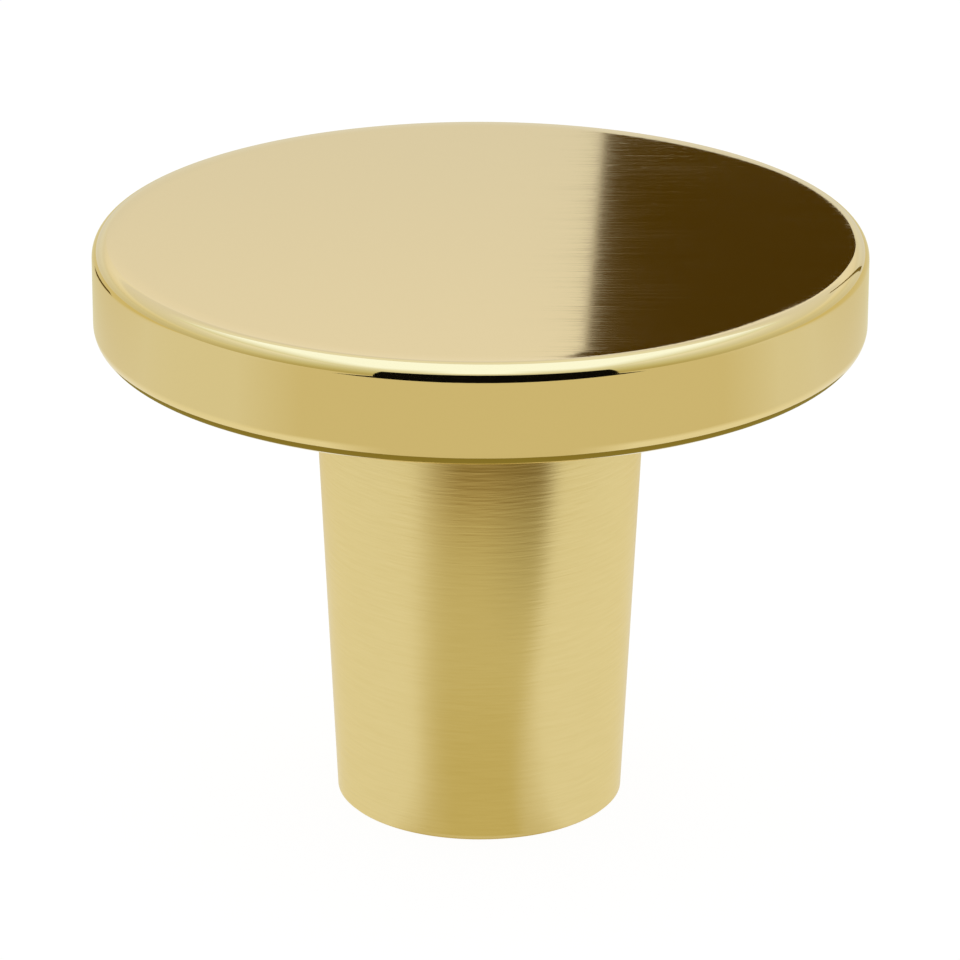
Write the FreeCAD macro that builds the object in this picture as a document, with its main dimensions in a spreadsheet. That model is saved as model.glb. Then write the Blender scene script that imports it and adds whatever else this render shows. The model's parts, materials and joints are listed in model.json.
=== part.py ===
import FreeCAD, Part
import math
import os

import Sketcher

# A cabinet knob turned from one piece of brass: a thick flat disc for the fingers on a slim
# stem that narrows towards the door. The frame stands on the stem's base: Z is the turning
# axis, z = 0 is the face that meets the door, and the disc's broad face looks along +Z.
# All lengths are in millimetres.

NODE = "knob"

SIZES = {
    # The disc that is gripped.
    "head_diameter": 33.0,
    "head_thickness": 4.4,
    "face_edge_radius": 0.7,
    "lower_edge_radius": 0.8,
    # The stem, measured from the door to the disc's underside.
    "stem_length": 21.0,
    "stem_diameter_at_head": 14.4,
    "stem_diameter_at_base": 12.4,
    "base_edge_bevel": 0.1,
    # The blind hole for the fixing screw, drilled to the tapping size of an M4 thread.
    "tapping_drill_diameter": 3.3,
    "drilled_depth": 12.0,
    "drill_point_angle": 118.0,
    "mouth_diameter": 4.4,
    "mouth_angle": 90.0,
}


def make_sheet(doc):
    """The sheet of driving sizes, one named cell each."""
    sheet = doc.addObject("Spreadsheet::Sheet", "sizes")
    for row, (name, value) in enumerate(SIZES.items(), start=1):
        sheet.set(f"A{row}", name)
        sheet.set(f"B{row}", str(value))
        sheet.setAlias(f"B{row}", name)
    doc.recompute()
    return sheet


def origin_feature(body, role):
    """One of the body's own origin planes or axes."""
    return next(part for part in body.Origin.OriginFeatures if part.Role == role)


def bind(sketch, constraint, name, formula):
    """Adds a named dimension to the sketch and ties it to the sheet."""
    index = sketch.addConstraint(constraint)
    sketch.renameConstraint(index, name)
    sketch.setExpression(f"Constraints.{name}", formula)


def turned_profile(body, sheet):
    """Half of the knob's outline, from the axis outwards, ready to be turned about Z."""
    sketch = body.newObject("Sketcher::SketchObject", "turned_profile")
    sketch.AttachmentSupport = [(origin_feature(body, "XZ_Plane"), "")]
    sketch.MapMode = "FlatFace"

    base = sheet.stem_diameter_at_base / 2
    neck = sheet.stem_diameter_at_head / 2
    rim = sheet.head_diameter / 2
    shoulder = sheet.stem_length
    face = shoulder + sheet.head_thickness
    corners = [(0, 0), (base, 0), (neck, shoulder), (rim, shoulder), (rim, face), (0, face)]
    points = [FreeCAD.Vector(x, y, 0) for x, y in corners]
    foot, taper, underside, side, top, axis = sketch.addGeometry(
        [Part.LineSegment(a, b) for a, b in zip(points, points[1:] + points[:1])], False
    )

    start, end = 1, 2
    lines = [foot, taper, underside, side, top, axis]
    for this, following in zip(lines, lines[1:] + lines[:1]):
        sketch.addConstraint(Sketcher.Constraint("Coincident", this, end, following, start))
    sketch.addConstraint(Sketcher.Constraint("Coincident", foot, start, -1, 1))
    for flat in (foot, underside, top):
        sketch.addConstraint(Sketcher.Constraint("Horizontal", flat))
    for upright in (side, axis):
        sketch.addConstraint(Sketcher.Constraint("Vertical", upright))

    def across(line, length, name, formula):
        constraint = Sketcher.Constraint("DistanceX", -1, 1, line, end, length)
        bind(sketch, constraint, name, formula)

    across(foot, base, "stem_radius_at_base", "sizes.stem_diameter_at_base / 2")
    across(taper, neck, "stem_radius_at_head", "sizes.stem_diameter_at_head / 2")
    across(underside, rim, "head_radius", "sizes.head_diameter / 2")
    up_stem = Sketcher.Constraint("DistanceY", -1, 1, taper, end, shoulder)
    bind(sketch, up_stem, "stem_length", "sizes.stem_length")
    up_side = Sketcher.Constraint("DistanceY", side, start, side, end, face - shoulder)
    bind(sketch, up_side, "head_thickness", "sizes.head_thickness")
    return sketch


def turn(body, profile):
    """The blank as it leaves the lathe, every edge still sharp."""
    blank = body.newObject("PartDesign::Revolution", "turned_blank")
    blank.Profile = profile
    blank.ReferenceAxis = (profile, ["V_Axis"])
    blank.Angle = 360
    profile.Visibility = False
    return blank


def ring_edge(feature, radius, height):
    """The name of the round edge that has this radius at this height."""
    for number, edge in enumerate(feature.Shape.Edges, start=1):
        circle = edge.Curve
        if not isinstance(circle, Part.Circle):
            continue
        same_radius = math.isclose(circle.Radius, radius, abs_tol=1e-4)
        same_height = math.isclose(circle.Center.z, height, abs_tol=1e-4)
        if same_radius and same_height:
            return f"Edge{number}"
    raise ValueError(f"no round edge of radius {radius} at height {height}")


def round_edge(doc, body, name, radius, height, size):
    """Rounds one ring-shaped edge of the knob."""
    doc.recompute()
    worked = body.Tip
    rounding = body.newObject("PartDesign::Fillet", name)
    rounding.Base = (worked, [ring_edge(worked, radius, height)])
    rounding.setExpression("Radius", f"sizes.{size}")
    return rounding


def bevel_edge(doc, body, name, radius, height, size):
    """Takes the sharpness off one ring-shaped edge with a narrow 45 degree bevel."""
    doc.recompute()
    worked = body.Tip
    bevel = body.newObject("PartDesign::Chamfer", name)
    bevel.Base = (worked, [ring_edge(worked, radius, height)])
    bevel.setExpression("Size", f"sizes.{size}")
    return bevel


def screw_hole(doc, body, sheet):
    """The blind hole up the middle of the stem, with a drill point and a broken mouth."""
    mark = body.newObject("Sketcher::SketchObject", "screw_centre")
    mark.AttachmentSupport = [(origin_feature(body, "XY_Plane"), "")]
    mark.MapMode = "FlatFace"
    radius = sheet.tapping_drill_diameter / 2
    centre = FreeCAD.Vector(0, 0, 0)
    upwards = FreeCAD.Vector(0, 0, 1)
    circle = mark.addGeometry(Part.Circle(centre, upwards, radius), False)
    mark.addConstraint(Sketcher.Constraint("Coincident", circle, 3, -1, 1))
    drill = Sketcher.Constraint("Diameter", circle, 2 * radius)
    bind(mark, drill, "drill", "sizes.tapping_drill_diameter")
    doc.recompute()

    solid_volume = body.Tip.Shape.Volume
    hole = body.newObject("PartDesign::Hole", "screw_hole")
    hole.Profile = mark
    mark.Visibility = False
    doc.recompute()
    hole.Reversed = True
    hole.DepthType = "Dimension"
    hole.DrillPoint = "Angled"
    hole.DrillForDepth = False
    hole.HoleCutType = "Countersink"
    hole.HoleCutCustomValues = True
    hole.setExpression("Diameter", "sizes.tapping_drill_diameter")
    hole.setExpression("Depth", "sizes.drilled_depth")
    hole.setExpression("DrillPointAngle", "sizes.drill_point_angle")
    hole.setExpression("HoleCutDiameter", "sizes.mouth_diameter")
    hole.setExpression("HoleCutCountersinkAngle", "sizes.mouth_angle")
    doc.recompute()
    if hole.Shape.Volume >= solid_volume:
        raise ValueError("the screw hole took no metal away")
    return hole


def check(doc, body):
    """Stops before anything is written if a feature failed or the solid isn't sound."""
    doc.recompute()
    for item in doc.Objects:
        if "Invalid" in item.State or "Error" in item.State:
            raise ValueError(f"{item.Label} failed: {item.State}")
    if body.Shape.isNull() or not body.Shape.isValid() or len(body.Shape.Solids) != 1:
        raise ValueError(f"{body.Label} isn't one valid solid")


doc = FreeCAD.newDocument("cabinet_knob")
sheet = make_sheet(doc)

knob = doc.addObject("PartDesign::Body", NODE)
knob.Label = NODE
turn(knob, turned_profile(knob, sheet))

rim_radius = sheet.head_diameter / 2
face_height = sheet.stem_length + sheet.head_thickness
round_edge(doc, knob, "face_edge", rim_radius, face_height, "face_edge_radius")
round_edge(doc, knob, "lower_edge", rim_radius, sheet.stem_length, "lower_edge_radius")
bevel_edge(doc, knob, "base_edge", sheet.stem_diameter_at_base / 2, 0, "base_edge_bevel")
screw_hole(doc, knob, sheet)
check(doc, knob)

os.makedirs("parts", exist_ok=True)
knob.Shape.exportStep(f"parts/{NODE}.step")
print(f"{NODE}: {knob.Shape.Volume:.1f} cubic mm")
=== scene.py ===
import json
import math

import bmesh
import bpy
from mathutils import Matrix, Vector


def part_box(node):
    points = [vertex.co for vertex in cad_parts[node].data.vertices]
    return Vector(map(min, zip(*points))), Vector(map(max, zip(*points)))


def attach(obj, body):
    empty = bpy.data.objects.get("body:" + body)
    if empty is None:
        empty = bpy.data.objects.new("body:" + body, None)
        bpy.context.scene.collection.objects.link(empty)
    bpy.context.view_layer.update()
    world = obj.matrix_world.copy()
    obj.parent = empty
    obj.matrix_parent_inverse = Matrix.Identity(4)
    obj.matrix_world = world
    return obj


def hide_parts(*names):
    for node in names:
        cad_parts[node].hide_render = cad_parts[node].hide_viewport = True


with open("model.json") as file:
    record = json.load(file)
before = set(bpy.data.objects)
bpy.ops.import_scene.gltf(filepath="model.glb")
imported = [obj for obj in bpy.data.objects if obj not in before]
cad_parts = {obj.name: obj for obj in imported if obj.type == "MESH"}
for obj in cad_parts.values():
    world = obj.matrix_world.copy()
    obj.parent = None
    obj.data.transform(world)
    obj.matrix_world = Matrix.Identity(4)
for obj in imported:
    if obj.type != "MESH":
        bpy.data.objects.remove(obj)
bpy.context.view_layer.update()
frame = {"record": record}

# The camera stands in front of the knob and looks down on it. Its long lens keeps the round
# face close to a true ellipse, as in a catalogue picture.
photo_side = 960
head_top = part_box("knob")[1][2]
camera_distance = 0.24585
camera_elevation = math.radians(18.63)
camera_pitch = math.radians(21.06)
camera_roll = math.radians(0.14)
pixels_across_a_radian = 5786
camera_data = bpy.data.cameras.new("camera")
camera_data.sensor_width = 36
camera_data.lens = camera_data.sensor_width * pixels_across_a_radian / photo_side
camera_data.clip_start = 0.01
camera = bpy.data.objects.new("camera", camera_data)
bpy.context.scene.collection.objects.link(camera)
camera_place = Matrix.Translation((
    0,
    -camera_distance * math.cos(camera_elevation),
    head_top + camera_distance * math.sin(camera_elevation),
))
camera_tilt = Matrix.Rotation(math.pi / 2 - camera_pitch, 4, "X")
camera.matrix_world = camera_place @ camera_tilt @ Matrix.Rotation(camera_roll, 4, "Z")
bpy.context.scene.camera = camera

# The knob. One solid turning in brass: a flat disc for the fingers on a slim stem that narrows
# towards the door. It is turned in one go from bar, so its outline is drawn here once and
# spun about Z, stretch by stretch, with the finish that each stretch gets afterwards.
mm = 0.001
low_corner, high_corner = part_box("knob")
head_radius = (high_corner[0] - low_corner[0]) / 2
head_thickness = 4.4 * mm
face_height = high_corner[2]
underside_height = face_height - head_thickness
face_edge_radius = 0.7 * mm
lower_edge_radius = 0.8 * mm
stem_top_radius = 7.2 * mm
stem_foot_radius = 6.2 * mm
neck_tool_radius = 0.2 * mm
foot_bevel = 0.1 * mm
mouth_radius = 2.2 * mm
ring_about_mouth = 0.4 * mm
steps_round_outside = 192


def arc(centre, radius, start, end, steps):
    """Points of the outline along an arc, from one angle in degrees to another."""
    angles = [math.radians(start + (end - start) * step / steps) for step in range(steps + 1)]
    return [(centre[0] + radius * math.cos(a), centre[1] + radius * math.sin(a)) for a in angles]


def run(start, end, shares):
    """Points of the outline on a straight run, at these shares of its length."""
    return [
        (start[0] + (end[0] - start[0]) * share, start[1] + (end[1] - start[1]) * share)
        for share in shares
    ]


# Polishing rolls the face off very slightly before the rim, then a narrow shoulder turns it
# down to the rim's round. The brushing stops a little way into the roll-off.
roll_off_width = 0.80 * mm
roll_off_slope = math.radians(2.6)
roll_off_steps = 14
shoulder_width = 0.13 * mm
shoulder_slope = math.radians(12)
shoulder_steps = 8
brush_stops_at = 0.962 * head_radius
rim_centre_radius = head_radius - face_edge_radius
shoulder_end = rim_centre_radius + face_edge_radius * math.sin(shoulder_slope)
roll_off_end = shoulder_end - shoulder_width
roll_off_start = roll_off_end - roll_off_width
face_middle = run((0, face_height), (roll_off_start, face_height), (0, 0.25, 0.5, 0.75, 0.97, 1))
roll_off = []
for step in range(1, roll_off_steps + 1):
    share = step / roll_off_steps
    drop = roll_off_width * math.tan(roll_off_slope) * share ** 3 / 3
    roll_off.append((roll_off_start + roll_off_width * share, face_height - drop))
roll_off_drop = face_height - roll_off[-1][1]
for step in range(1, shoulder_steps + 1):
    share = step / shoulder_steps
    mean_slope = roll_off_slope + (shoulder_slope - roll_off_slope) * share / 2
    drop = roll_off_drop + shoulder_width * share * math.tan(mean_slope)
    roll_off.append((roll_off_end + shoulder_width * share, face_height - drop))
still_brushed = [point for point in roll_off if point[0] < brush_stops_at]
polished_margin = roll_off[len(still_brushed):]

# The rim: two rounds, and a straight side with a row of corners close to each of them, which
# keeps the side flat in its shading.
side_row_gap = 0.03 * mm
upper_round_centre = (
    rim_centre_radius,
    roll_off[-1][1] - face_edge_radius * math.cos(shoulder_slope),
)
upper_round_start = 90 - math.degrees(shoulder_slope)
upper_round = arc(upper_round_centre, face_edge_radius, upper_round_start, 0, steps=22)
lower_round_centre = (head_radius - lower_edge_radius, underside_height + lower_edge_radius)
lower_round = arc(lower_round_centre, lower_edge_radius, 0, -90, steps=18)
side = [
    (head_radius, upper_round[-1][1] - side_row_gap),
    (head_radius, lower_round[0][1] + side_row_gap),
]

# The stem: the small round that the lathe tool's nose leaves at the neck, the taper, and the
# narrow bevel and flat ring that meet the door.
taper = math.atan2(stem_top_radius - stem_foot_radius, underside_height)
neck_centre = (
    stem_top_radius + neck_tool_radius * (1 - math.sin(taper)) / math.cos(taper),
    underside_height - neck_tool_radius,
)
neck = arc(neck_centre, neck_tool_radius, 90, 180 - math.degrees(taper), steps=8)
underside = run(lower_round[-1], neck[0], (0.005, 0.3, 0.6, 0.9, 0.995))
bevel_top = (
    stem_foot_radius + foot_bevel * math.sin(taper),
    foot_bevel * math.cos(taper),
)
bevel_foot = (stem_foot_radius - foot_bevel, 0)
stem = run(neck[-1], bevel_top, (0.002, 0.2, 0.4, 0.6, 0.8, 0.99, 1))
base_ring = run(bevel_foot, (mouth_radius + ring_about_mouth, 0), (0.5, 1))

outline = [
    ("brushed", face_middle + still_brushed),
    ("polished", polished_margin + upper_round[1:] + side + lower_round),
    ("turned", underside + neck),
    ("banded", stem),
    ("turned", [bevel_foot] + base_ring),
]
finishes = ["brushed", "polished", "turned", "banded", "tapped"]
knob_shape = bmesh.new()


def corner_ring(radius, height, steps):
    """A ring of corners about the axis, or the one corner on it, once for each step."""
    if radius == 0:
        return [knob_shape.verts.new((0, 0, height))] * steps
    angles = [math.tau * step / steps for step in range(steps)]
    return [
        knob_shape.verts.new((radius * math.cos(angle), radius * math.sin(angle), height))
        for angle in angles
    ]


def knob_face(corners, finish):
    """A face of the knob with its finish, left out where its corners have run together."""
    corners = list(dict.fromkeys(corners))
    if len(corners) > 2 and knob_shape.faces.get(corners) is None:
        knob_shape.faces.new(corners).material_index = finishes.index(finish)


last_ring = None
for finish, stretch in outline:
    for radius, height in stretch:
        ring = corner_ring(radius, height, steps_round_outside)
        if last_ring:
            for step in range(steps_round_outside):
                after = (step + 1) % steps_round_outside
                knob_face([last_ring[step], ring[step], ring[after], last_ring[after]], finish)
        last_ring = ring

# The screw hole. Drilled blind up the middle of the stem, its mouth broken with a countersink,
# then tapped M4 by 0.7, which leaves a helical thread that runs out short of the drill's point.
screw_hole = next(m for m in frame["record"]["mounts"] if m["name"] == "screw_hole")
bore_radius = screw_hole["dims"]["r_mm"] * mm
mouth_depth = mouth_radius - bore_radius
drilled_depth = mouth_depth + screw_hole["dims"]["length_mm"] * mm
drill_half_angle = math.radians(59)
drill_tip = drilled_depth + bore_radius / math.tan(drill_half_angle)
pitch = 0.7 * mm
thread_depth = 0.35 * mm
full_thread_to = 9.2 * mm
thread_ends = 10.6 * mm
flank = thread_depth * math.tan(math.radians(30))
root_flat = pitch / 8
crest_flat = pitch - 2 * flank - root_flat
steps_round_hole = steps_round_outside // 2

# One turn of the thread, as the rise from its start and the share of the full depth.
thread_profile = [
    (0, 0),
    (crest_flat / 2, 0),
    (crest_flat, 0),
    (crest_flat + flank / 2, 0.5),
    (crest_flat + flank, 1),
    (crest_flat + flank + root_flat, 1),
    (crest_flat + flank * 1.5 + root_flat, 0.5),
]
next_turn = (pitch, 0)
hole_corners = {}


def hole_corner(turn_step, height, depth_share):
    """The corner of the hole's wall at one step of the turn, no lower than the mouth."""
    column = turn_step % steps_round_hole
    height = min(max(height, 0), thread_ends)
    key = (column, round(height / mm, 5))
    if key not in hole_corners:
        run_out = (thread_ends - height) / (thread_ends - full_thread_to)
        thread = bore_radius + thread_depth * depth_share * min(1, run_out)
        # The mouth is cut at 45 degrees, so it narrows by as much as it deepens.
        radius = max(thread, mouth_radius - height)
        angle = math.tau * column / steps_round_hole
        place = (radius * math.cos(angle), radius * math.sin(angle), height)
        hole_corners[key] = knob_shape.verts.new(place)
    return hole_corners[key]


turns = math.ceil(thread_ends / pitch) + 1
rise_in_a_step = pitch / steps_round_hole
for turn_step in range(-steps_round_hole, turns * steps_round_hole):
    here = turn_step * pitch / steps_round_hole
    ahead = here + rise_in_a_step
    rows_above = thread_profile[1:] + [next_turn]
    for (rise, depth_share), (next_rise, next_share) in zip(thread_profile, rows_above):
        knob_face([
            hole_corner(turn_step, here + rise, depth_share),
            hole_corner(turn_step + 1, ahead + rise, depth_share),
            hole_corner(turn_step + 1, ahead + next_rise, next_share),
            hole_corner(turn_step, here + next_rise, next_share),
        ], "tapped")

# The base's ring has two steps for each step of the hole, so three triangles join them.
mouth = [hole_corner(step, 0, 0) for step in range(steps_round_hole)]
for step in range(steps_round_hole):
    after = (step + 1) % steps_round_hole
    left, between = last_ring[2 * step], last_ring[2 * step + 1]
    right = last_ring[2 * after]
    knob_face([left, between, mouth[step]], "turned")
    knob_face([between, mouth[after], mouth[step]], "turned")
    knob_face([between, right, mouth[after]], "turned")

wall_end = [hole_corner(step, thread_ends, 0) for step in range(steps_round_hole)]
for radius, height in (
    (bore_radius, drilled_depth),
    (bore_radius / 2, (drilled_depth + drill_tip) / 2),
    (0, drill_tip),
):
    ring = corner_ring(radius, height, steps_round_hole)
    for step in range(steps_round_hole):
        after = (step + 1) % steps_round_hole
        knob_face([wall_end[step], ring[step], ring[after], wall_end[after]], "tapped")
    wall_end = ring

sharp_corner = math.radians(32)
bmesh.ops.recalc_face_normals(knob_shape, faces=knob_shape.faces)
for edge in knob_shape.edges:
    edge.smooth = edge.calc_face_angle(math.pi) < sharp_corner
for face in knob_shape.faces:
    face.smooth = True

knob_mesh = bpy.data.meshes.new("turned_knob")
knob_shape.to_mesh(knob_mesh)
knob_shape.free()
turned_knob = bpy.data.objects.new("turned_knob", knob_mesh)
bpy.context.scene.collection.objects.link(turned_knob)

# The finishes of the brass. It is lacquered and bright: the face is brushed straight across, the
# rim is polished like a mirror, the stem is brushed round and round on the lathe, and the
# surfaces against the door and inside the hole are as the tools left them.
brushed_brass = (0.80, 0.63, 0.29, 1)
polished_brass = (0.80, 0.625, 0.26, 1)
stem_brass = (0.80, 0.635, 0.272, 1)
stem_streak_brass = (0.775, 0.61, 0.252, 1)
stem_edge_tint = (0.97, 0.92, 0.76, 1)
turned_brass = (0.74, 0.57, 0.23, 1)
turned_edge_tint = (0.93, 0.84, 0.58, 1)
cut_brass = (0.72, 0.55, 0.24, 1)


def add(tree, kind, inputs=(), **settings):
    """Adds a node to a material, with its settings and what goes into its inputs."""
    node = tree.nodes.new(kind)
    for name, value in settings.items():
        setattr(node, name, value)
    for name, value in dict(inputs).items():
        if isinstance(value, bpy.types.NodeSocket):
            tree.links.new(value, node.inputs[name])
        else:
            node.inputs[name].default_value = value
    return node


def brass(name, colour, roughness, stretch=0.0, turn=0.0):
    """A bare brass surface to build a finish on: the material, its tree and its shader."""
    material = bpy.data.materials.new(name)
    material.use_nodes = True
    tree = material.node_tree
    shader = tree.nodes["Principled BSDF"]
    shader.inputs["Metallic"].default_value = 1
    shader.inputs["Base Color"].default_value = colour
    shader.inputs["Roughness"].default_value = roughness
    shader.inputs["Anisotropic"].default_value = stretch
    shader.inputs["Anisotropic Rotation"].default_value = turn
    return material, tree, shader


def scratches(tree, place, scale, detail):
    """Fine scratches as noise, drawn out along the directions of the smaller scales."""
    drawn_out = add(tree, "ShaderNodeMapping", {"Vector": place, "Scale": scale})
    noise = add(tree, "ShaderNodeTexNoise", {
        "Vector": drawn_out.outputs["Vector"], "Scale": 1, "Detail": detail,
    })
    return noise.outputs["Fac"]


def spread(tree, value, lowest, highest, start=0.3, end=0.7):
    """Turns a value that goes from start to end into one from lowest to highest."""
    return add(tree, "ShaderNodeMapRange", {
        "Value": value,
        "From Min": start,
        "From Max": end,
        "To Min": lowest,
        "To Max": highest,
    }).outputs["Result"]


def blend(tree, share, first, second):
    """A colour between two others. The mixing node's colour sockets are 6 and 7 in, 2 out."""
    mixed = add(tree, "ShaderNodeMix", {"Factor": share, 6: first, 7: second}, data_type="RGBA")
    return mixed.outputs[2]


def lay_grain(tree, shader, axis):
    """Lays the brushing's grain round one of the knob's axes."""
    tangent = add(tree, "ShaderNodeTangent", direction_type="RADIAL", axis=axis)
    tree.links.new(tangent.outputs["Tangent"], shader.inputs["Tangent"])


def cut_in(tree, shader, marks, depth):
    """Cuts marks into the surface, on top of those that were cut before."""
    bump = add(tree, "ShaderNodeBump", {"Height": marks, "Strength": 1, "Distance": depth})
    for link in shader.inputs["Normal"].links:
        tree.links.new(link.from_socket, bump.inputs["Normal"])
    tree.links.new(bump.outputs["Normal"], shader.inputs["Normal"])


def brushed_face():
    """Long hairlines that vary the gloss, and a few short stray hairs that are cut in."""
    material, tree, shader = brass("brushed_face", brushed_brass, 0.055, stretch=0.5, turn=0.25)
    place = add(tree, "ShaderNodeTexCoord").outputs["Object"]
    lay_grain(tree, shader, "X")
    hairs = scratches(tree, place, (180, 7000, 1), detail=3)
    gloss = spread(tree, hairs, 0.038, 0.085, start=0.44, end=0.78)
    tree.links.new(gloss, shader.inputs["Roughness"])
    flecks = scratches(tree, place, (1500, 9000, 1), detail=2)
    stray_hairs = spread(tree, flecks, 0, 1, start=0.62, end=0.9)
    cut_in(tree, shader, stray_hairs, 0.0005 * mm)
    return material


def polished_rim():
    """A mirror with the slight waves of the mop, and a trace of haze."""
    material, tree, shader = brass("polished_rim", polished_brass, 0.05)
    place = add(tree, "ShaderNodeTexCoord").outputs["Object"]
    waves = scratches(tree, place, (350, 350, 500), detail=1)
    cut_in(tree, shader, waves, 0.002 * mm)
    haze = scratches(tree, place, (900, 900, 6000), detail=3)
    tree.links.new(spread(tree, haze, 0.03, 0.07), shader.inputs["Roughness"])
    return material


def banded_stem():
    """Hairs and broader grooves that run round the stem, with streaks of colour along them."""
    material, tree, shader = brass("banded_stem", stem_brass, 0.29, stretch=0.3, turn=0.25)
    shader.inputs["Specular Tint"].default_value = stem_edge_tint
    place = add(tree, "ShaderNodeTexCoord").outputs["Object"]
    lay_grain(tree, shader, "Z")
    hairs = scratches(tree, place, (600, 600, 9000), detail=2)
    grooves = scratches(tree, place, (300, 300, 4600), detail=2)
    cut_in(tree, shader, hairs, 0.012 * mm)
    cut_in(tree, shader, grooves, 0.012 * mm)
    streaks = blend(tree, spread(tree, hairs, 0, 1), stem_streak_brass, stem_brass)
    tree.links.new(streaks, shader.inputs["Base Color"])
    return material


def turned_surface():
    """The lathe tool's own fine grooves, in rings about the axis."""
    material, tree, shader = brass("turned_surface", turned_brass, 0.3)
    shader.inputs["Specular Tint"].default_value = turned_edge_tint
    place = add(tree, "ShaderNodeTexCoord").outputs["Object"]
    apart = add(tree, "ShaderNodeSeparateXYZ", {"Vector": place})
    flat = add(tree, "ShaderNodeCombineXYZ", {
        "X": apart.outputs["X"], "Y": apart.outputs["Y"],
    })
    from_axis = add(tree, "ShaderNodeVectorMath", {0: flat.outputs["Vector"]}, operation="LENGTH")
    rings_about_axis = add(tree, "ShaderNodeCombineXYZ", {
        "X": from_axis.outputs["Value"], "Y": apart.outputs["Z"],
    })
    grooves = scratches(tree, rings_about_axis.outputs["Vector"], (7000, 7000, 1), detail=1)
    cut_in(tree, shader, grooves, 0.008 * mm)
    return material


def tapped_wall():
    """The chatter that a drill and a tap leave."""
    material, tree, shader = brass("tapped_wall", cut_brass, 0.3)
    place = add(tree, "ShaderNodeTexCoord").outputs["Object"]
    chatter = scratches(tree, place, (1500, 1500, 9000), detail=2)
    cut_in(tree, shader, chatter, 0.004 * mm)
    return material


made_finishes = {
    "brushed": brushed_face(),
    "polished": polished_rim(),
    "turned": turned_surface(),
    "banded": banded_stem(),
    "tapped": tapped_wall(),
}
for finish in finishes:
    knob_mesh.materials.append(made_finishes[finish])

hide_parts("knob")
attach(turned_knob, "root")

# The board that the knob stands on, a wide sheet of pale matt card, a hair below the base. It
# takes the knob's soft shadow, and the camera sees it nearly white. To the metal it glows with
# painted light and shade instead of being lit: darker and warm in front as painted shade, paler
# and cooler beside the knob, brighter still close beside it as painted light, and yellower
# behind, always at the same places.
board_half = 2.0
board_drop = 0.02 * mm
board_matt = (0.12, 0.12, 0.12, 1)
# The front colour is painted shade, and the brighter level close by is painted light.
board_painted_shade_in_front = (0.765, 0.74, 0.60, 1)
board_beside = (0.86, 0.89, 0.94, 1)
board_behind = (0.76, 0.70, 0.42, 1)
board_level_for_camera = 0.93
board_level, board_painted_light_close_by = 0.87, 0.99
backwards_and_a_little_left = (-0.18, 1, 0)
white = (1, 1, 1, 1)


def emptied(owner):
    """The node tree of a new material or of the world, with nothing in it yet."""
    owner.use_nodes = True
    owner.node_tree.nodes.clear()
    return owner.node_tree


def number(tree, operation, *values):
    """A number worked out from others, such as their product."""
    node = add(tree, "ShaderNodeMath", dict(enumerate(values)), operation=operation)
    return node.outputs["Value"]


def board_paint():
    """The board's paint and its painted light and shade, by how far from the knob and which way."""
    material = bpy.data.materials.new("board")
    tree = emptied(material)
    ray = add(tree, "ShaderNodeLightPath")
    place = add(tree, "ShaderNodeTexCoord").outputs["Object"]
    from_knob = add(tree, "ShaderNodeVectorMath", {0: place}, operation="LENGTH")
    bearing = add(tree, "ShaderNodeVectorMath", {0: place}, operation="NORMALIZE")
    ahead = add(tree, "ShaderNodeSeparateXYZ", {"Vector": bearing.outputs["Vector"]})
    towards_back = add(tree, "ShaderNodeVectorMath", {
        0: bearing.outputs["Vector"], 1: backwards_and_a_little_left,
    }, operation="DOT_PRODUCT")
    away_from_front = spread(tree, ahead.outputs["Y"], 0, 1, start=-0.92, end=-0.76)
    close_by = spread(tree, from_knob.outputs["Value"], 1, 0, start=0.045, end=0.07)
    close_beside = number(tree, "MULTIPLY", away_from_front, close_by)
    far_beside = spread(tree, towards_back.outputs["Value"], 0, 1, start=-0.54, end=-0.2)
    beside = number(tree, "MAXIMUM", close_beside, far_beside)
    apart = add(tree, "ShaderNodeSeparateXYZ", {"Vector": place})
    behind = spread(tree, apart.outputs["Y"], 0, 1, start=0.02, end=0.065)
    # Painted shade in front and painted light close beside the knob, seen only by the metal.
    front_or_beside = blend(tree, beside, board_painted_shade_in_front, board_beside)
    colour = blend(tree, behind, front_or_beside, board_behind)
    level = spread(tree, close_beside, board_level, board_painted_light_close_by, start=0, end=1)
    for_metal = add(tree, "ShaderNodeEmission", {
        "Color": colour,
        "Strength": number(tree, "MULTIPLY", level, ray.outputs["Is Glossy Ray"]),
    })
    seen_level = spread(tree, ray.outputs["Is Camera Ray"], 0, board_level_for_camera, start=0, end=1)
    for_camera = add(tree, "ShaderNodeEmission", {"Color": white, "Strength": seen_level})
    matt = add(tree, "ShaderNodeBsdfDiffuse", {"Color": board_matt})
    glow = add(tree, "ShaderNodeAddShader", {
        0: for_metal.outputs["Emission"], 1: for_camera.outputs["Emission"],
    })
    both = add(tree, "ShaderNodeAddShader", {0: matt.outputs["BSDF"], 1: glow.outputs["Shader"]})
    add(tree, "ShaderNodeOutputMaterial", {"Surface": both.outputs["Shader"]})
    return material


board_corners = [
    (-board_half, -board_half, 0), (board_half, -board_half, 0),
    (board_half, board_half, 0), (-board_half, board_half, 0),
]
board_mesh = bpy.data.meshes.new("board")
board_mesh.from_pydata(board_corners, [], [(0, 1, 2, 3)])
board_mesh.materials.append(board_paint())
board = bpy.data.objects.new("board", board_mesh)
board.location.z = -board_drop
bpy.context.scene.collection.objects.link(board)

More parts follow.
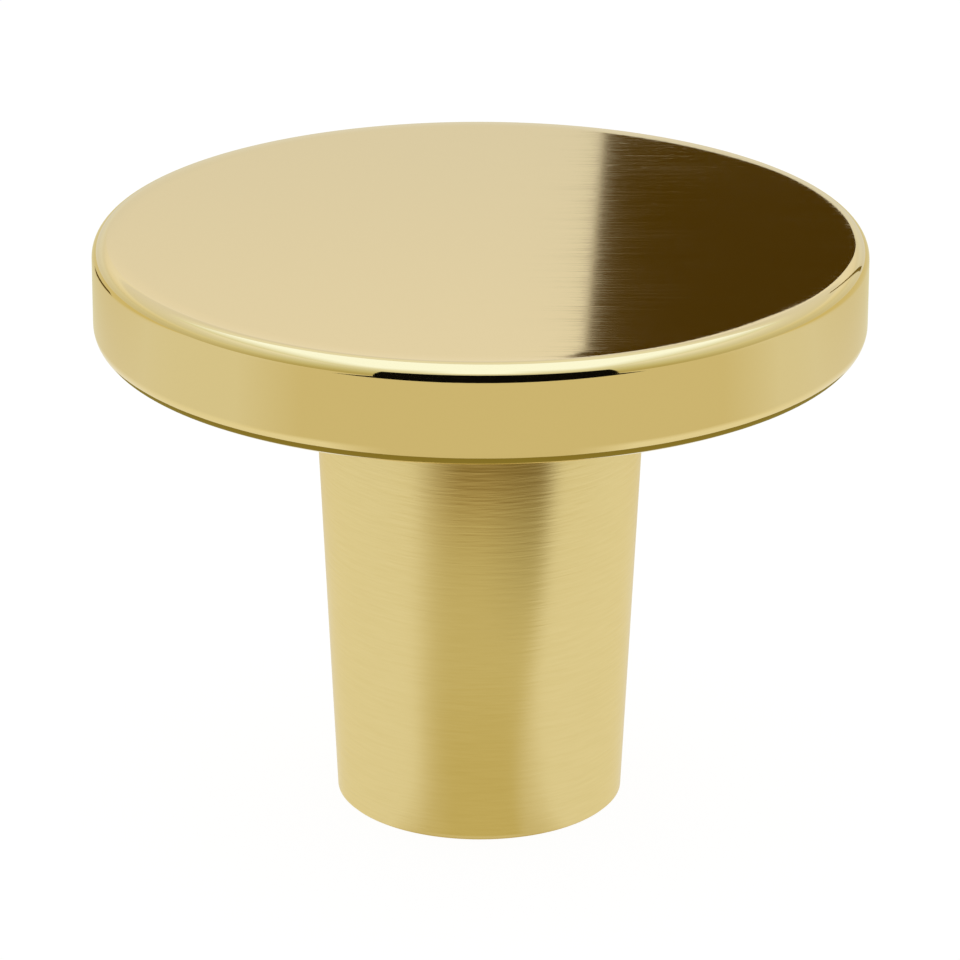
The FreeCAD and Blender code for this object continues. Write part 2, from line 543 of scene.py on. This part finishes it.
# The silk, a wide white cloth that hangs flat over the knob and glows. It is brightest and
# coolest in its middle, and it dims towards its sides and its two near corners. Like every
# sheet of the studio below, it is there for the metal alone.
silk_height = 0.445
silk_left, silk_right = -0.37, 0.36
silk_near = -0.44
silk_outline = (
    (silk_left, silk_near),
    (silk_left, 0.35),
    (0.02, 0.20),
    (0.10, 0.20),
    (0.17, 0.34),
    (silk_right, 0.34),
    (silk_right, silk_near),
)
silk_near_fade = 0.22
silk_middle_half, silk_bright_half = 0.05, 0.20
silk_dim_light = (0.86, 0.95, 1.06, 1)
silk_bright_light = (1.22, 1.50, 2.44, 1)


def show_only_in_metal(sheet):
    """Hides a sheet from the camera and from the board, and keeps it from casting shadow."""
    sheet.visible_camera = False
    sheet.visible_diffuse = False
    sheet.visible_shadow = False


def hang_sheet(name, corners, material):
    """One flat sheet of the studio, from its corners."""
    mesh = bpy.data.meshes.new(name)
    mesh.from_pydata(corners, [], [tuple(range(len(corners)))])
    mesh.materials.append(material)
    sheet = bpy.data.objects.new(name, mesh)
    show_only_in_metal(sheet)
    bpy.context.scene.collection.objects.link(sheet)


def show_colour(tree, colour):
    """Makes a sheet show its colour in the metal, whatever the light."""
    glow = add(tree, "ShaderNodeEmission", {"Color": colour, "Strength": 1})
    add(tree, "ShaderNodeOutputMaterial", {"Surface": glow.outputs["Emission"]})


def silk_cloth():
    """The silk's light, by how far a place is from its middle and from its near edge."""
    material = bpy.data.materials.new("silk")
    tree = emptied(material)
    place = add(tree, "ShaderNodeTexCoord").outputs["Object"]
    apart = add(tree, "ShaderNodeSeparateXYZ", {"Vector": place})
    from_middle = number(tree, "ABSOLUTE", apart.outputs["X"])
    across = spread(tree, from_middle, 1, 0, start=silk_bright_half, end=silk_right)
    middle_only = spread(tree, from_middle, 1, 0, start=silk_middle_half, end=silk_bright_half)
    fade_end = silk_near + silk_near_fade
    along = spread(tree, apart.outputs["Y"], 0, 1, start=silk_near, end=fade_end)
    reached = number(tree, "MAXIMUM", along, middle_only)
    evenness = number(tree, "MULTIPLY", across, reached)
    show_colour(tree, blend(tree, evenness, silk_dim_light, silk_bright_light))
    return material


hang_sheet("silk", [(x, y, silk_height) for x, y in silk_outline], silk_cloth())

# The black papers, on the camera's side. One lies on the board and the other stands up from its
# outer edge, and together they give the rim its black streak.
black = (0.004, 0.004, 0.004, 1)
paper_lift = 0.0001
paper_inner_left, paper_inner_right = -0.09, 0.11
paper_left, paper_right = -0.20, 0.28
paper_inner, paper_outer = -0.107, -0.35
paper_top = 0.26


def hang_paper(name, corners, colour):
    """A sheet of paper in one plain colour."""
    material = bpy.data.materials.new(name)
    show_colour(emptied(material), colour)
    hang_sheet(name, corners, material)


hang_paper("black_paper_lying", [
    (paper_inner_left, paper_inner, paper_lift),
    (paper_inner_right, paper_inner, paper_lift),
    (paper_right, paper_outer, paper_lift),
    (paper_left, paper_outer, paper_lift),
], black)
hang_paper("black_paper_standing", [
    (paper_left, paper_outer, paper_lift),
    (paper_right, paper_outer, paper_lift),
    (paper_right, paper_outer, paper_top),
    (paper_left, paper_outer, paper_top),
], black)

# The brown card, cut to shape and hung far behind the knob on the right, where the brushed face
# mirrors it. It darkens a third of the face.
card_distance = 0.9
card_brown = (0.074, 0.043, 0.004, 1)
card_outline = (
    (0.0261, 0.296),
    (0.052, 0.294),
    (0.074, 0.283),
    (0.086, 0.292),
    (0.104, 0.306),
    (0.175, 0.315),
    (0.175, 0.360),
    (0.100, 0.389),
    (0.074, 0.385),
    (0.052, 0.434),
    (0.028, 0.457),
    (0.0224, 0.400),
    (0.0216, 0.357),
)
hang_paper("brown_card", [(x, card_distance, height) for x, height in card_outline], card_brown)

# Two narrow strips of dark paper, which give the thin dark streaks at the rim's two ends. One
# leans far behind on the right, and a low one stands on the board close behind on the left.
right_strip_foot, right_strip_top = 0.09, 0.50
left_strip_top = 0.008
hang_paper("dark_strip_behind_right", [
    (0.455, 0.716, right_strip_foot),
    (0.492, 0.692, right_strip_foot),
    (0.449, 0.720, right_strip_top),
    (0.411, 0.742, right_strip_top),
], (0.20, 0.15, 0.03, 1))
hang_paper("dark_strip_behind_left", [
    (-0.0546, 0.0748, paper_lift),
    (-0.0769, 0.0584, paper_lift),
    (-0.0769, 0.0584, left_strip_top),
    (-0.0546, 0.0748, left_strip_top),
], (0.12, 0.08, 0.02, 1))

# The collar, a glowing sheet of painted shade that stands round the front of the stem, with a
# foot on the board and a brim close under the head. The stem mirrors it as its dark band, and its
# dark top and brim are painted shadow of the head. Its weave opens towards both ends, so that no
# hard edge shows, and it has more painted shade on the right near the head.
collar_radius = 0.013
collar_foot, collar_top = 0.0002, 0.0165
brim_radius, brim_height = 0.0184, 0.0166
collar_steps = 20

# How far up each painted shade is, as a share of the collar's height: pale low down, and dark
# as painted shadow near the head.
collar_painted_shades = (
    (0.05, (0.65, 0.60, 0.36)),
    (0.25, (0.69, 0.66, 0.47)),
    (0.50, (0.68, 0.65, 0.47)),
    (0.66, (0.62, 0.58, 0.40)),
    (0.78, (0.51, 0.44, 0.27)),
    (0.86, (0.35, 0.26, 0.12)),
    (0.93, (0.22, 0.15, 0.05)),
    (1.00, (0.29, 0.25, 0.07)),
)

# Each row's radius and height, and how far it reaches to the left and right of the front, in
# degrees.
collar_rows = (
    (0.0058, collar_foot, -28, 20),
    (0.0105, collar_foot, -36, 25),
    (collar_radius, collar_foot, -43, 27),
    (collar_radius, 0.004, -46, 33),
    (collar_radius, 0.008, -45, 41),
    (collar_radius, collar_top, -40, 46),
)
# The brim is a ring of painted shadow close under the head.
painted_shadow_brim_rows = (
    (collar_radius, brim_height, -100, 100),
    (brim_radius, brim_height, -100, 100),
)


def shades_by_height(tree, height, shades, brightest=1):
    """A colour that changes with height. A ramp holds no more than 1, so it is divided down."""
    ramp = add(tree, "ShaderNodeValToRGB", {"Fac": height})
    stops = ramp.color_ramp.elements
    while len(stops) < len(shades):
        stops.new(1)
    for stop, (stop_height, colour) in zip(stops, shades):
        stop.position = stop_height
        stop.color = [level / brightest for level in colour] + [1]
    return ramp.outputs["Color"]


def painted_shade_paper():
    """The collar's painted shade, by how far up and how far across it a place lies."""
    material = bpy.data.materials.new("painted_shade_paper")
    tree = emptied(material)
    place = add(tree, "ShaderNodeTexCoord").outputs["Object"]
    apart = add(tree, "ShaderNodeSeparateXYZ", {"Vector": place})
    up_collar = spread(tree, apart.outputs["Z"], 0, 1, start=collar_foot, end=collar_top)
    across = add(tree, "ShaderNodeAttribute", attribute_name="share_across").outputs["Fac"]
    # Painted shade: darker on the right near the head.
    to_the_right = spread(tree, across, 0, 0.27, start=0.52, end=0.80)
    near_the_head = spread(tree, up_collar, 0, 1, start=0.35, end=0.70)
    painted_shade_on_right = number(tree, "MULTIPLY", to_the_right, near_the_head)
    glow = add(tree, "ShaderNodeEmission", {
        "Color": shades_by_height(tree, up_collar, collar_painted_shades),
        "Strength": number(tree, "SUBTRACT", 1, painted_shade_on_right),
    })
    left_fade = spread(tree, across, 0, 1, start=0.05, end=0.36)
    right_fade = spread(tree, across, 1, 0, start=0.88, end=0.99)
    open_mesh = add(tree, "ShaderNodeBsdfTransparent")
    woven = add(tree, "ShaderNodeMixShader", {
        0: number(tree, "MULTIPLY", left_fade, right_fade),
        1: open_mesh.outputs["BSDF"],
        2: glow.outputs["Emission"],
    })
    add(tree, "ShaderNodeOutputMaterial", {"Surface": woven.outputs["Shader"]})
    return material


collar_corners, collar_faces, collar_shares = [], [], []
for rows in (collar_rows, painted_shadow_brim_rows):
    for row, (radius, height, left, right) in enumerate(rows):
        first = len(collar_corners)
        for step in range(collar_steps + 1):
            angle = math.radians(left + (right - left) * step / collar_steps)
            collar_corners.append((radius * math.sin(angle), -radius * math.cos(angle), height))
            # The brim is painted shadow, one shade all round, that of the collar's middle.
            collar_shares.append(step / collar_steps if rows is collar_rows else 0.5)
        if row:
            for step in range(first, first + collar_steps):
                below = step - collar_steps - 1
                collar_faces.append((below, below + 1, step + 1, step))
collar_mesh = bpy.data.meshes.new("painted_shade_collar")
collar_mesh.from_pydata(collar_corners, [], collar_faces)
share_across = collar_mesh.attributes.new("share_across", "FLOAT", "POINT")
share_across.data.foreach_set("value", collar_shares)
collar_mesh.materials.append(painted_shade_paper())
painted_shade_collar = bpy.data.objects.new("painted_shade_collar", collar_mesh)
show_only_in_metal(painted_shade_collar)
bpy.context.scene.collection.objects.link(painted_shade_collar)

# The room around, with pale walls that are darker and warmer low down in front. The metal sees
# the walls, the camera sees plain white, and everything matt is lit by an even, dimmer white.
room_light = 0.75
brightest_wall = 1.5
front_wall = (
    (0.00, (0.55, 0.52, 0.30)),
    (0.15, (0.58, 0.56, 0.36)),
    (0.35, (0.69, 0.72, 0.59)),
    (0.50, (0.76, 0.82, 0.81)),
    (0.62, (0.86, 0.95, 1.12)),
    (0.70, (0.98, 1.08, 1.38)),
)
back_wall = (
    (0.00, (0.82, 0.84, 0.88)),
    (0.10, (0.80, 0.83, 0.88)),
    (0.24, (0.86, 0.90, 0.97)),
    (0.30, (0.84, 0.855, 0.88)),
    (0.34, (0.93, 0.935, 0.965)),
    (0.42, (0.98, 1.01, 1.14)),
    (0.46, (0.86, 0.90, 1.10)),
    (0.62, (0.87, 0.92, 1.18)),
    (0.70, (0.95, 1.04, 1.32)),
)
world = bpy.data.worlds.new("room")
bpy.context.scene.world = world
tree = emptied(world)
ray = add(tree, "ShaderNodeLightPath")
direction = add(tree, "ShaderNodeTexCoord").outputs["Generated"]
apart = add(tree, "ShaderNodeSeparateXYZ", {"Vector": direction})
towards_back_wall = spread(tree, apart.outputs["Y"], 0, 1, start=-0.6, end=0.85)
front_light = shades_by_height(tree, apart.outputs["Z"], front_wall, brightest_wall)
back_light = shades_by_height(tree, apart.outputs["Z"], back_wall, brightest_wall)
walls = add(tree, "ShaderNodeBackground", {
    "Color": blend(tree, towards_back_wall, front_light, back_light),
    "Strength": brightest_wall,
})
plain = add(tree, "ShaderNodeBackground", {"Color": white, "Strength": 1})
even = add(tree, "ShaderNodeBackground", {"Color": white, "Strength": room_light})
reflected = add(tree, "ShaderNodeMixShader", {
    0: ray.outputs["Is Glossy Ray"],
    1: even.outputs["Background"],
    2: walls.outputs["Background"],
})
seen = add(tree, "ShaderNodeMixShader", {
    0: ray.outputs["Is Camera Ray"],
    1: reflected.outputs["Shader"],
    2: plain.outputs["Background"],
})
add(tree, "ShaderNodeOutputWorld", {"Surface": seen.outputs["Shader"]})

bpy.context.scene.view_settings.view_transform = "Standard"
